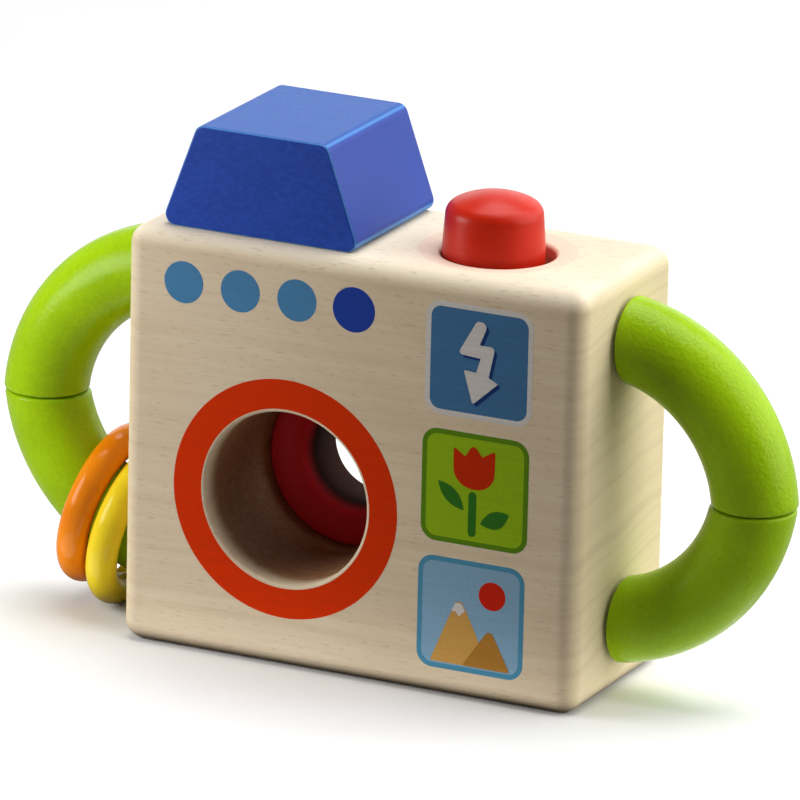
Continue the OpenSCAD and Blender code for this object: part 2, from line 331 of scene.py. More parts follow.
greenLacquer = {
    "name": "greenLacquer",
    "deep": (0.285, 0.485, 0.003),
    "bright": (0.39, 0.64, 0.004),
    "grainScale": (1100, 1100, 1100),
    "rough": 0.22,
    "specular": 0.13,
    "relief": 0.150 * mm,
}
redLacquer = {
    "name": "redLacquer",
    "deep": (0.54, 0.012, 0.001),
    "bright": (0.64, 0.020, 0.002),
    "grainScale": (130, 130, 2200),
    "rough": 0.34,
    "specular": 0.22,
    "relief": 0.010 * mm,
}
crimsonLacquer = {
    "name": "crimsonLacquer",
    "deep": (0.90, 0.028, 0.045),
    "bright": (0.98, 0.040, 0.060),
    "grainScale": (1500, 260, 1500),
    "rough": 0.38,
    "specular": 0.12,
    "relief": 0.020 * mm,
    "paintedBoreShade": (0.024, 0.007, 0.004),  # painted shade in the bore of the eye hole
    "paintedShadeTo": 10.0 * mm,  # distance from its axis where the painted shade gives way to the lacquer
    "lacquerFrom": 11.6 * mm,
}
lacquer = {
    "peelScale": (1500, 1500, 1500),
    "cloudScale": (60, 60, 60),
    "toneRange": (0.24, 0.76),
    "bump": 0.8,
}


def lacqueredWood(look):
    material, tree, place = startMaterial(look["name"])
    grain = place.noise(look["grainScale"], 3.0)
    peel = place.noise(lacquer["peelScale"])
    cloud = place.noise(lacquer["cloudScale"])
    tone = (grain * 0.4 + cloud * 0.6).ramp(*lacquer["toneRange"])
    tint = tone.mix(look["deep"], look["bright"])
    relief = grain * 0.7 + peel * 0.5
    rough = look["rough"] + (grain - 0.5) * 0.22
    if "paintedBoreShade" in look:
        # painted shade: the bore of the eye hole is dark
        paintedBoreShade = 1 - fromViewAxis(place).ramp(look["paintedShadeTo"], look["lacquerFrom"])
        tint = paintedBoreShade.mix(tint, look["paintedBoreShade"])
        rough = rough + paintedBoreShade * 0.5
    endMaterial(tree, {
        "Base Color": tint,
        "Roughness": rough,
        "Specular IOR Level": look["specular"],
        "Normal": relief.bump(look["relief"], lacquer["bump"]),
    })
    return material


orangeGloss = {"name": "orangeGloss", "deep": (0.82, 0.21, 0.004), "bright": (0.90, 0.26, 0.004)}
yellowGloss = {"name": "yellowGloss", "deep": (0.82, 0.60, 0.018), "bright": (0.90, 0.68, 0.020)}
gloss = {
    "cloudScale": (110, 110, 110),
    "scuffScale": (900, 260, 900),
    "peelScale": (420, 420, 420),
    "cloudRange": (0.36, 0.64),
    "scuffRange": (0.62, 0.8),
    "rough": 0.11,
    "specular": 0.17,
    "relief": 0.02 * mm,
    "bump": 0.5,
}


def glossPlastic(look):
    material, tree, place = startMaterial(look["name"])
    cloud = place.noise(gloss["cloudScale"])
    scuff = place.noise(gloss["scuffScale"], 3.0).ramp(*gloss["scuffRange"])
    peel = place.noise(gloss["peelScale"], 1.0)
    endMaterial(tree, {
        "Base Color": cloud.ramp(*gloss["cloudRange"]).mix(look["deep"], look["bright"]),
        "Roughness": gloss["rough"] + scuff * 0.16 + cloud * 0.05,
        "Specular IOR Level": gloss["specular"],
        "Normal": (peel * 0.7 - scuff * 0.3).bump(gloss["relief"], gloss["bump"]),
    })
    return material


ink = {
    "screenScale": (1400, 1400, 1400),
    "toneRange": (0.3, 0.7),
    "thinned": 0.88,
    "lightest": 0.003,
    "rough": 0.46,
    "specular": 0.02,
    "relief": 0.015 * mm,
    "bump": 0.5,
    "layer": 0.02 * mm,  # thickness of one layer
    "crease": 20,
}


def printInk(name, colour):
    material, tree, place = startMaterial(name)
    fibre = place.noise(beech["fibreScale"], 3.0)
    screen = place.noise(ink["screenScale"], 1.0)
    thin = tuple(ink["thinned"] * part + ink["lightest"] for part in colour)
    endMaterial(tree, {
        "Base Color": (fibre * 0.6 + screen * 0.4).ramp(*ink["toneRange"]).mix(thin, colour),
        "Roughness": ink["rough"] + (fibre - 0.5) * 0.2,
        "Specular IOR Level": ink["specular"],
        "Normal": (fibre * 0.7 + screen * 0.3).bump(ink["relief"], ink["bump"]),
    })
    return material


steel = {
    "dull": (0.42, 0.42, 0.43),
    "bright": (0.62, 0.62, 0.63),
    "drawnScale": (900, 900, 4000),
    "drawnRange": (0.3, 0.7),
    "rough": 0.24,
    "relief": 0.01 * mm,
    "bump": 0.5,
}


def springSteel():
    material, tree, place = startMaterial("springSteel")
    drawn = place.noise(steel["drawnScale"])
    endMaterial(tree, {
        "Base Color": drawn.ramp(*steel["drawnRange"]).mix(steel["dull"], steel["bright"]),
        "Metallic": 1.0,
        "Roughness": steel["rough"] + drawn * 0.2,
        "Normal": drawn.bump(steel["relief"], steel["bump"]),
    })
    return material


elastic = {
    "thread": (0.10, 0.10, 0.10),
    "gap": (0.030, 0.030, 0.032),
    "weaveScale": (1500, 2300, 1500),
    "fuzzScale": (5000, 5000, 5000),
    "weaveRange": (0.15, 0.7),
    "rough": 0.8,
    "relief": 0.15 * mm,
    "bump": 0.8,
}


def wovenElastic():
    material, tree, place = startMaterial("wovenElastic")
    weave = place.stretched(elastic["weaveScale"])
    cell = tree.node("TexVoronoi", {}, {"Vector": weave, "Scale": 1.0})
    fuzz = place.noise(elastic["fuzzScale"])
    worn = (cell * 0.7 + fuzz * 0.3).ramp(*elastic["weaveRange"])
    endMaterial(tree, {
        "Base Color": worn.mix(elastic["thread"], elastic["gap"]),
        "Roughness": elastic["rough"] + fuzz * 0.15,
        "Normal": (1 - cell).bump(elastic["relief"], elastic["bump"]),
    })
    return material


# Mesh helpers

def addPiece(name, mesh, material, crease=creaseAngle):
    shape = bmesh.new()
    shape.from_mesh(mesh)
    bmesh.ops.recalc_face_normals(shape, faces=shape.faces)
    for face in shape.faces:
        face.smooth = True
    shape.to_mesh(mesh)
    shape.free()
    mesh.set_sharp_from_angle(angle=math.radians(crease))
    piece = bpy.data.objects.new(name, mesh)
    bpy.context.scene.collection.objects.link(piece)
    if material:
        mesh.materials.append(material)
    return piece


def skin(name, loops, material, wrap=False, crease=creaseAngle):
    # joins loops of equally many points, end to end if wrap, and else closes both ends
    count = len(loops[0])
    points = [point for loop in loops for point in loop]
    faces = []
    for row in range(len(loops) if wrap else len(loops) - 1):
        here = row * count
        there = (row + 1) % len(loops) * count
        for k in range(count):
            n = (k + 1) % count
            faces.append((here + k, here + n, there + n, there + k))
    if not wrap:
        faces.append(tuple(range(count)))
        faces.append(tuple(range(len(points) - count, len(points))))
    mesh = bpy.data.meshes.new(name)
    mesh.from_pydata(points, [], faces)
    return addPiece(name, mesh, material, crease)


def lathe(name, profile, place, material, steps=128, wrap=False, crease=creaseAngle):
    # turns a profile of (radius, height) points; place maps (out, side, height) to the frame
    loops = []
    for radius, height in profile:
        loop = []
        for k in range(steps):
            angle = fullTurn * k / steps
            loop.append(place(radius * math.cos(angle), radius * math.sin(angle), height))
        loops.append(loop)
    return skin(name, loops, material, wrap, crease)


def arc(middle, radius, start, end, steps=8):
    points = []
    for k in range(steps + 1):
        angle = math.radians(start + (end - start) * k / steps)
        points.append((middle[0] + radius * math.cos(angle), middle[1] + radius * math.sin(angle)))
    return points


def circle(middle, radius, steps):
    return arc(middle, radius, 0, 360 - 360 / steps, steps - 1)


def hoop(middle, out, over, radius, sides):
    # a circle in space; out and over are the directions that span it
    points = []
    for k in range(sides):
        angle = fullTurn * k / sides
        points.append(middle + (out * math.cos(angle) + over * math.sin(angle)) * radius)
    return points


def cutAway(piece, cutters, crease=creaseAngle):
    for cutter in cutters:
        cut = piece.modifiers.new(cutter.name, "BOOLEAN")
        cut.operation = "DIFFERENCE"
        cut.solver = "EXACT"
        cut.object = cutter
    shown = piece.evaluated_get(bpy.context.evaluated_depsgraph_get())
    mesh = bpy.data.meshes.new_from_object(shown)
    piece.modifiers.clear()
    piece.data = mesh
    mesh.set_sharp_from_angle(angle=math.radians(crease))
    for cutter in cutters:
        bpy.data.objects.remove(cutter)


def flatten(piece):
    # large flat faces keep their own normals beside the rounded edges
    weighted = piece.modifiers.new("flatFaces", "WEIGHTED_NORMAL")
    weighted.keep_sharp = True
    weighted.weight = 100


def stands(piece, node, body):
    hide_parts(node)
    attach(piece, body)


def upright(x, y, z):
    return lambda out, side, height: (x + out, y + side, z + height)


def forwards(x, y, z):
    return lambda out, side, height: (x + out, y - height, z + side)


def sideways(x, y, z):
    return lambda out, side, height: (x + height, y + side, z + out)


# Sizes that several pieces share, from the frame

bodyLow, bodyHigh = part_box("body_block")
eyeLow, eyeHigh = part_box("eyepiece_ring")
buttonLow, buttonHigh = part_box("shutter_button")
pinLow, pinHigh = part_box("button_stop_pin")
glueGap = 0.05 * mm

viewHole = {
    "x": (eyeLow.x + eyeHigh.x) / 2,
    "z": (eyeLow.z + eyeHigh.z) / 2,
    "radius": (eyeHigh.x - eyeLow.x) / 2 + glueGap,
    "rim": 0.75 * mm,
    "steps": 160,
}
button = {
    "x": (buttonLow.x + buttonHigh.x) / 2,
    "base": buttonLow.z,
    "top": buttonHigh.z,
    "radius": (buttonHigh.x - buttonLow.x) / 2,
    "shoulderRadius": 9.75 * mm,
    "shoulder": 3.0 * mm,
    "shoulderSteps": 12,
    "crown": 1.6 * mm,
    "crownSteps": 16,
    "crownEnd": 89.5,  # degrees, so that the top closes with a tiny flat face
    "baseEase": 0.5 * mm,
    "pocketRadius": 5.8 * mm,
    "pocketDepth": 6.0 * mm,
    "slotRadius": 2.3 * mm,
    "slotSteps": 16,
    "travel": 5.0 * mm,
    "spare": 1.0 * mm,
}
well = {
    "x": button["x"] + 1.0 * mm,
    "radius": 11.45 * mm,
    "depth": 32.0 * mm,
    "mouth": 0.9 * mm,
    "dishRadius": 16.2 * mm,
    "dishDepth": 0.4 * mm,
}

dowelNodes = ("viewfinder_left_dowel", "viewfinder_right_dowel")
plugNodes = ("left_upper_plug", "left_lower_plug", "right_upper_plug", "right_lower_plug")

beechFinish = beechWood()


# Body block

block = {"edge": 3.9 * mm, "edgeSteps": 10, "edgeProfile": 0.5, "rodSteps": 64, "spare": 2.0 * mm}


def rodCutter(name, radius, length, place):
    return lathe(name, [(radius, 0), (radius, length)], place, None, block["rodSteps"])


def dowelCutters():
    cutters = []
    for node in dowelNodes:
        low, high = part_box(node)
        place = upright((low.x + high.x) / 2, (low.y + high.y) / 2, low.z)
        cutters.append(rodCutter(node + "Cut", (high.x - low.x) / 2 + glueGap, high.z - low.z, place))
    return cutters


def holeCutters():
    spare = block["spare"]
    depth = bodyHigh.y - bodyLow.y
    rim = viewHole["rim"]
    flare = arc((viewHole["radius"] + rim, depth - rim), rim, 180, 90)
    profile = [(viewHole["radius"], -spare), *flare, (viewHole["radius"] + rim, depth + spare)]
    place = forwards(viewHole["x"], bodyHigh.y, viewHole["z"])
    cutters = [lathe("viewCut", profile, place, None, viewHole["steps"])]
    mouth = well["mouth"]
    dish = -well["dishDepth"]
    lip = arc((well["radius"] + mouth, dish - mouth), mouth, 180, 90)
    profile = [(well["radius"], -well["depth"]), *lip, (well["dishRadius"], 0), (well["dishRadius"], spare)]
    cutters.append(lathe("wellCut", profile, upright(well["x"], 0, bodyHigh.z), None))
    for node in plugNodes:
        low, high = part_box(node)
        start = low.x - (spare if low.x < 0 else 0)
        place = sideways(start, 0, (low.z + high.z) / 2)
        plugRadius = (high.z - low.z) / 2 + glueGap
        cutters.append(rodCutter(node + "Cut", plugRadius, high.x - low.x + spare, place))
    cutters += dowelCutters()
    place = forwards((pinLow.x + pinHigh.x) / 2, pinHigh.y + spare, (pinLow.z + pinHigh.z) / 2)
    pinRadius = (pinHigh.x - pinLow.x) / 2 + glueGap
    cutters.append(rodCutter("pinCut", pinRadius, pinHigh.y - pinLow.y + spare, place))
    return cutters


def bodyBlock():
    shape = bmesh.new()
    bmesh.ops.create_cube(shape, size=1)
    size = bodyHigh - bodyLow
    bmesh.ops.scale(shape, vec=size, verts=shape.verts)
    bmesh.ops.translate(shape, vec=(bodyLow + bodyHigh) / 2, verts=shape.verts)
    bmesh.ops.bevel(shape, geom=shape.edges[:], offset=block["edge"], segments=block["edgeSteps"],
                    profile=block["edgeProfile"], affect="EDGES", clamp_overlap=True)
    mesh = bpy.data.meshes.new("bodyBlock")
    shape.to_mesh(mesh)
    shape.free()
    piece = addPiece("bodyBlock", mesh, beechFinish)
    cutAway(piece, holeCutters())
    flatten(piece)
    stands(piece, "body_block", "camera_body")


bodyBlock()
print("body block made")


# Viewfinder block

finder = {
    "topWidth": 29.9 * mm,
    "edge": 2.2 * mm,
    "ends": 0.5 * mm,
    "arcSteps": 8,
    "endSteps": 5,
    "crease": 50,
}


def finderBlock():
    low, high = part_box("viewfinder_block")
    middle = (low.x + high.x) / 2
    edge = finder["edge"]
    baseX = (high.x - low.x) / 2 - edge
    topX = finder["topWidth"] / 2 - edge
    height = high.z - low.z
    # slope of the ends from upright
    lean = math.degrees(math.atan2(baseX - topX, height - 2 * edge))

    def outline(y, radius):
        points = arc((baseX, edge), radius, -90, lean, finder["arcSteps"])
        points += arc((topX, height - edge), radius, lean, 90, finder["arcSteps"])
        points += arc((-topX, height - edge), radius, 90, 180 - lean, finder["arcSteps"])
        points += arc((-baseX, edge), radius, 180 - lean, 270, finder["arcSteps"])
        return [(middle + x, y, low.z + z) for x, z in points]

    ease = arc((0, 0), finder["ends"], 90, 0, finder["endSteps"])
    rounds = [(finder["ends"] - rise, finder["ends"] - run) for run, rise in ease]
    loops = [outline(low.y + inward, edge - shrink) for inward, shrink in rounds]
    loops += [outline(high.y - inward, edge - shrink) for inward, shrink in reversed(rounds)]
    piece = skin("viewfinderBlock", loops, stainedWood(), crease=finder["crease"])
    cutAway(piece, dowelCutters(), finder["crease"])
    flatten(piece)
    stands(piece, "viewfinder_block", "camera_body")


finderBlock()
print("viewfinder block made")


# Eyepiece ring, deep in the view hole

eyepiece = {
    "bore": 9.75 * mm,
    "mouthSteps": 20,
    "lip": 0.8 * mm,
    "lipSteps": 5,
    "backEase": 0.5 * mm,
    "backSteps": 4,
}


def eyepieceRing():
    outer = (eyeHigh.x - eyeLow.x) / 2
    length = eyeHigh.y - eyeLow.y
    bore = eyepiece["bore"]
    lip = eyepiece["lip"]
    ease = eyepiece["backEase"]
    mouth = outer - lip - bore
    profile = [(outer, 0), (outer, length - lip)]
    profile += arc((outer - lip, length - lip), lip, 0, 90, eyepiece["lipSteps"])
    profile += arc((bore + mouth, length - mouth), mouth, 90, 180, eyepiece["mouthSteps"])[1:]
    profile += arc((bore + ease, ease), ease, 180, 270, eyepiece["backSteps"])
    place = forwards(viewHole["x"], eyeHigh.y, viewHole["z"])
    piece = lathe("eyepieceRing", profile, place, lacqueredWood(crimsonLacquer), wrap=True)
    stands(piece, "eyepiece_ring", "camera_body")


eyepieceRing()
print("eyepiece ring made")


# Push button and its spring

def pushButton():
    height = button["top"] - button["base"]
    sunk = bodyHigh.z - button["base"]
    shoulder = button["shoulder"]
    crown = button["crown"]
    shoulderZ = height - shoulder - crown
    inner = button["shoulderRadius"] - shoulder
    # apart lies between the middles of the shoulder's arc and the crown's
    apart = (inner * inner + crown * crown) / (2 * crown)
    meet = math.degrees(math.atan2(apart - crown, inner))
    crownRadius = apart + shoulder
    ease = button["baseEase"]
    profile = [(button["radius"] - ease, 0), (button["radius"], ease), (button["radius"], sunk)]
    profile += arc((inner, shoulderZ), shoulder, 0, meet, button["shoulderSteps"])
    crownMiddle = (0, height - crownRadius)
    profile += arc(crownMiddle, crownRadius, meet, button["crownEnd"], button["crownSteps"])[1:]
    place = upright(button["x"], 0, button["base"])
    piece = lathe("pushButton", profile, place, lacqueredWood(redLacquer))
    spare = button["spare"]
    pocket = rodCutter("pocketCut", button["pocketRadius"], button["pocketDepth"] + spare,
                       upright(button["x"], 0, button["base"] - spare))
    pinZ = (pinLow.z + pinHigh.z) / 2
    ends = arc((0, 0), button["slotRadius"], 180, 360, button["slotSteps"])
    ends += arc((0, button["travel"]), button["slotRadius"], 0, 180, button["slotSteps"])
    reach = 2 * button["radius"]
    loops = [[(button["x"] + x, y, pinZ + z) for x, z in ends] for y in (-reach, reach)]
    slot = skin("slotCut", loops, None)
    cutAway(piece, [pocket, slot])
    stands(piece, "shutter_button", "button")


spring = {"wire": 0.5 * mm, "turns": 8, "stepsPerTurn": 28, "sides": 10, "crease": 60}


def buttonSpring():
    low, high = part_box("button_spring")
    wire = spring["wire"]
    radius = (high.x - low.x) / 2 - wire
    steps = spring["turns"] * spring["stepsPerTurn"]
    rise = high.z - low.z - 2 * wire
    loops = []
    for step in range(steps + 1):
        turn = fullTurn * step / spring["stepsPerTurn"]
        out = Vector((math.cos(turn), math.sin(turn), 0))
        middle = Vector((button["x"], 0, low.z + wire + rise * step / steps)) + out * radius
        loops.append(hoop(middle, out, Vector((0, 0, 1)), wire, spring["sides"]))
    piece = skin("buttonSpring", loops, springSteel(), crease=spring["crease"])
    stands(piece, "button_spring", "camera_body")
    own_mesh(piece)


pushButton()
buttonSpring()
print("button and spring made")


# Handles: two round arcs each, strung on an elastic cord

handle = {
    "middle": 43.65 * mm,
    "arcRadius": 33.0 * mm,
    "tube": 8.6 * mm,
    "inset": 4.7 * mm,  # of the arcs' middles from the side of the body
    "drop": 3.6 * mm,  # of the upper arc's middle; the lower arc's is as much higher
    "seam": 42.55 * mm,
    "seamGap": 0.3 * mm,
    "seatGap": 0.7 * mm,
    "bevel": 0.7 * mm,
    "bevelSteps": 5,
    "sides": 72,
    "steps": 56,
    "crease": 40,
    "cordBore": 1.9 * mm,
    "boreStride": 4,  # the bore takes every fourth step
    "cord": 1.5 * mm,
    "cordSides": 16,
    "cordSteps": 24,
    "cordCrease": 60,
    "tail": 11.7 * mm,
    "tailShares": (1, 0.75, 0.5, 0.25),
}
arcX = bodyHigh.x - handle["inset"]


def arcMiddle(up):
    return handle["middle"] - up * handle["drop"]


def seamAngle(up, radius, offset):
    return math.asin((handle["seam"] + up * offset - arcMiddle(up)) / radius)


def seatAngle(up, radius, offset):
    return up * math.acos((bodyHigh.x + offset - arcX) / radius)


def arcRing(side, up, tube, angleAt):
    # one ring of points round the arc
    # angleAt gives the angle along the arc for each distance from its middle
    ring = []
    for k in range(handle["sides"]):
        spin = fullTurn * k / handle["sides"]
        reach = handle["arcRadius"] + tube * math.cos(spin)
        angle = angleAt(reach)
        x = arcX + reach * math.cos(angle)
        ring.append((side * x, side * tube * math.sin(spin), arcMiddle(up) + reach * math.sin(angle)))
    return ring


def handleSegment(name, node, side, up, material, body):
    gap = handle["seamGap"] / 2
    seat = handle["seatGap"]
    bevel = handle["bevel"]
    tube = handle["tube"]
    bore = handle["cordBore"]
    quarter = arc((0, 0), bevel, 90, 0, handle["bevelSteps"])
    ease = [(bevel - rise, bevel - run) for run, rise in quarter]
    loops = []

    def add(radius, angleAt):
        loops.append(arcRing(side, up, radius, angleAt))

    def between(step, reach):
        start = seamAngle(up, reach, gap + bevel)
        end = seatAngle(up, reach, seat + bevel)
        return start + (end - start) * step / handle["steps"]

    for inward, shrink in ease:
        add(tube - shrink, lambda reach, d=inward: seamAngle(up, reach, gap + d))
    for step in range(1, handle["steps"]):
        add(tube, lambda reach, s=step: between(s, reach))
    for inward, shrink in reversed(ease):
        add(tube - shrink, lambda reach, d=inward: seatAngle(up, reach, seat + d))
    add(bore, lambda reach: seatAngle(up, reach, seat))
    for step in range(handle["steps"] - 1, 0, -handle["boreStride"]):
        add(bore, lambda reach, s=step: between(s, reach))
    add(bore, lambda reach: seamAngle(up, reach, gap))
    piece = skin(name, loops, material, wrap=True, crease=handle["crease"])
    stands(piece, node, body)


def cordPath(side):
    points = []
    for up in (1, -1):
        radius = handle["arcRadius"]
        start = seatAngle(up, radius, 0)
        end = seamAngle(up, radius, 0)
        seatZ = arcMiddle(up) + radius * math.sin(start)
        run = [(bodyHigh.x - handle["tail"] * share, seatZ) for share in handle["tailShares"]]
        for step in range(handle["cordSteps"] + 1):
            angle = start + (end - start) * step / handle["cordSteps"]
            run.append((arcX + radius * math.cos(angle), arcMiddle(up) + radius * math.sin(angle)))
        points += run if up > 0 else run[-2::-1]
    return [Vector((side * x, 0, z)) for x, z in points]


def handleCord(name, node, side, material):
    path = cordPath(side)
    loops = []
    for k, point in enumerate(path):
        ahead = path[min(k + 1, len(path) - 1)] - path[max(k - 1, 0)]
        out = backwards.cross(ahead).normalized()
        loops.append(hoop(point, out, backwards, handle["cord"], handle["cordSides"]))
    piece = skin(name, loops, material, crease=handle["cordCrease"])
    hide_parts(node)
    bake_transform(piece)


greenFinish = lacqueredWood(greenLacquer)
elasticFinish = wovenElastic()
for sideName, side in (("left", -1), ("right", 1)):
    for levelName, up in (("Upper", 1), ("Lower", -1)):
        node = sideName + "_" + levelName.lower() + "_segment"
        handleSegment(sideName + levelName + "Segment", node, side, up, greenFinish, sideName + "_handle")
    handleCord(sideName + "ElasticCord", sideName + "_cord", side, elasticFinish)
print("handles strung")


# Loose rings on the left handle

looseRing = {"section": 3.2 * mm, "steps": 120, "sides": 40, "crease": 60}


def ringPiece(name, node, body, material):
    low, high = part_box(node)
    middle = (low + high) / 2
    half = (high - low) / 2
    section = looseRing["section"]
    radius = half.y - section
    # the ring leans up and to the right
    along = Vector((half.x - section, 0, half.z - section)).normalized()
    axis = along.cross(backwards)
    loops = []
    for step in range(looseRing["steps"]):
        turn = fullTurn * step / looseRing["steps"]
        out = along * math.cos(turn) + backwards * math.sin(turn)
        loops.append(hoop(middle + out * radius, out, axis, section, looseRing["sides"]))
    piece = skin(name, loops, material, wrap=True, crease=looseRing["crease"])
    stands(piece, node, body)


ringPiece("orangeRing", "orange_ring", "orange_loose_ring", glossPlastic(orangeGloss))
ringPiece("yellowRing", "yellow_ring", "yellow_loose_ring", glossPlastic(yellowGloss))
print("loose rings made")


# Prints on the front face, in millimetres from the middle of the view hole

def inkShape(name, outline, depth, material, hole=None):
    # a flat patch of ink on the front face, depth layers up; hole is an outline of as many points
    def at(points, level):
        y = bodyLow.y - level * ink["layer"]
        return [(viewHole["x"] + x * mm, y, viewHole["z"] + z * mm) for x, z in points]

    if hole:
        loops = [at(outline, depth), at(outline, depth + 1), at(hole, depth + 1), at(hole, depth)]
    else:
        loops = [at(outline, depth), at(outline, depth + 1)]
    piece = skin(name, loops, material, wrap=bool(hole), crease=ink["crease"])
    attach(piece, "camera_body")


def rounded(corners, steps=6):
    # polygon whose corners are (x, z, radius), each turned into an arc
    points = []
    for k, (x, z, radius) in enumerate(corners):
        here = Vector((x, z))
        before = (Vector(corners[k - 1][:2]) - here).normalized()
        after = (Vector(corners[(k + 1) % len(corners)][:2]) - here).normalized()
        half = before.angle(after) / 2
        middle = here + (before + after).normalized() * radius / math.sin(half)
        first = here + before * radius / math.tan(half) - middle
        last = here + after * radius / math.tan(half) - middle
        for step in range(steps + 1):
            spoke = first.slerp(last, step / steps) * radius
            points.append(tuple(middle + spoke))
    return points


panel = {"size": 23.1, "border": 1.05, "corner": 3.3, "cornerSteps": 10}


def panelOutline(centre, size, radius):
    x, z = centre
    half = size / 2
    corners = [(x - half, z - half, radius), (x + half, z - half, radius),
               (x + half, z + half, radius), (x - half, z + half, radius)]
    return rounded(corners, panel["cornerSteps"])


def moved(corners, centre, shift=(0, 0)):
    return [(x + centre[0] + shift[0], z + centre[1] + shift[1], radius) for x, z, radius in corners]


def leafOutline(tip, end, above, below, steps=14):
    # two parabolas between the leaf's ends; above and below are how far they bulge
    tip = Vector(tip)
    end = Vector(end)
    across = Vector((tip.y - end.y, end.x - tip.x)).normalized()
    points = []
    for bulge, shares in ((above, range(steps)), (-below, range(steps, 0, -1))):
        for k in shares:
            share = k / steps
            points.append(tuple(tip.lerp(end, share) + across * bulge * 4 * share * (1 - share)))
    return points


ringPrint = {"outer": 24.65, "inner": 18.56, "steps": 128, "ink": (0.74, 0.038, 0.002)}
dotPrint = {
    "first": -23.13,
    "spacing": 12.46,
    "height": 41.3,
    "radii": (4.3, 4.3, 4.3, 4.6),
    "deepDot": 3,  # counted from 0
    "steps": 72,
    "paleInk": (0.08, 0.25, 0.47),
    "deepInk": (0.02, 0.058, 0.37),
}


def printedRing():
    outer = circle((0, 0), ringPrint["outer"], ringPrint["steps"])
    inner = circle((0, 0), ringPrint["inner"], ringPrint["steps"])
    inkShape("printedRing", outer, 0, printInk("ringInk", ringPrint["ink"]), inner)


def printedDots():
    pale = printInk("paleDotInk", dotPrint["paleInk"])
    deep = printInk("deepDotInk", dotPrint["deepInk"])
    for k, radius in enumerate(dotPrint["radii"]):
        middle = (dotPrint["first"] + k * dotPrint["spacing"], dotPrint["height"])
        outline = circle(middle, radius, dotPrint["steps"])
        inkShape("printedDot" + str(k + 1), outline, 0, deep if k == dotPrint["deepDot"] else pale)


whiteInk = printInk("whiteInk", (0.74, 0.70, 0.66))


def printPanel(name, centre, borderInk, groundInk):
    inside = panel["size"] - 2 * panel["border"]
    outer = panelOutline(centre, panel["size"], panel["corner"])
    inner = panelOutline(centre, inside, panel["corner"] - panel["border"])
    inkShape(name + "Border", outer, 0, borderInk, inner)
    inkShape(name + "Ground", inner, 0, groundInk)


flashSign = {
    "centre": (41.6, 34.56),
    "ground": (0.065, 0.185, 0.36),
    "shade": (0.014, 0.045, 0.19),
    "shadow": (0.6, -0.55),
    "arrow": [(-0.6, 8.5, 0.9), (1.9, 8.3, 1.1), (0.05, 3.68, 0.15), (3.45, 3.72, 0.9),
              (2.13, -2.65, 0.12), (4.2, -3.65, 0.2), (-1.2, -8.6, 0.35), (-3.25, -1.8, 0.25),
              (-0.55, -2.0, 0.12), (0.35, 1.0, 0.12), (-4.6, 1.35, 0.65)],
}


def printedFlash():
    centre = flashSign["centre"]
    printPanel("flashPanel", centre, whiteInk, printInk("flashGroundInk", flashSign["ground"]))
    shadow = rounded(moved(flashSign["arrow"], centre, flashSign["shadow"]))
    inkShape("flashShadow", shadow, 1, printInk("flashShadeInk", flashSign["shade"]))
    inkShape("flashArrow", rounded(moved(flashSign["arrow"], centre)), 2, whiteInk)


flowerSign = {
    "centre": (41.35, 8.5),
    "border": (0.115, 0.26, 0.010),
    "ground": (0.32, 0.52, 0.012),
    "petal": (0.60, 0.030, 0.003),
    "leaf": (0.035, 0.18, 0.016),
    "flower": [(-4.75, 8.35, 0.25), (-2.2, 6.65, 0.3), (-0.5, 9.45, 0.8), (1.5, 7.0, 0.3),
               (4.3, 8.7, 0.4), (4.15, 0.1, 3.9), (-4.7, 0.2, 4.2)],
    "flowerSteps": 10,
    "stem": [(-1.3, -9.6, 0.84), (0.4, -9.6, 0.84), (0.4, -0.4, 0.84), (-1.3, -0.4, 0.84)],
    "leftLeaf": ((-7.95, 0.9), (-2.3, -4.4), 1.55, 1.4),
    "rightLeaf": ((1.35, -6.7), (7.5, -3.85), 1.5, 2.0),
}


def printedFlower():
    centre = flowerSign["centre"]
    printPanel("flowerPanel", centre, printInk("flowerBorderInk", flowerSign["border"]),
               printInk("flowerGroundInk", flowerSign["ground"]))
    leafInk = printInk("leafInk", flowerSign["leaf"])
    flower = rounded(moved(flowerSign["flower"], centre), flowerSign["flowerSteps"])
    inkShape("flowerHead", flower, 1, printInk("petalInk", flowerSign["petal"]))
    inkShape("flowerStem", rounded(moved(flowerSign["stem"], centre)), 1, leafInk)
    for name in ("leftLeaf", "rightLeaf"):
        tip, end, above, below = flowerSign[name]
        outline = leafOutline(tip, end, above, below)
        inkShape(name, [(x + centre[0], z + centre[1]) for x, z in outline], 1, leafInk)


hillSign = {
    "centre": (41.09, -17.68),
    "border": (0.085, 0.30, 0.46),
    "ground": (0.26, 0.44, 0.60),
    "far": (0.66, 0.36, 0.09),
    "near": (0.46, 0.21, 0.035),
    "sun": (0.66, 0.020, 0.006),
    "farHill": [(-8.6, -10.2, 0.3), (4.6, -10.2, 0.3), (-2.6, 4.4, 1.1)],
    "farSnow": [(-2.6, 4.4, 1.1), (-4.35, 0.1, 0.25), (-3.3, 0.9, 0.3), (-2.5, -0.3, 0.3),
                (-1.6, 0.8, 0.3), (-0.85, 0.1, 0.25)],
    "nearHill": [(-1.6, -10.2, 0.3), (8.8, -10.2, 0.3), (4.3, -1.6, 1.0)],
    "sunMiddle": (4.6, 5.0),
    "sunRadius": 2.9,
    "sunSteps": 60,
}


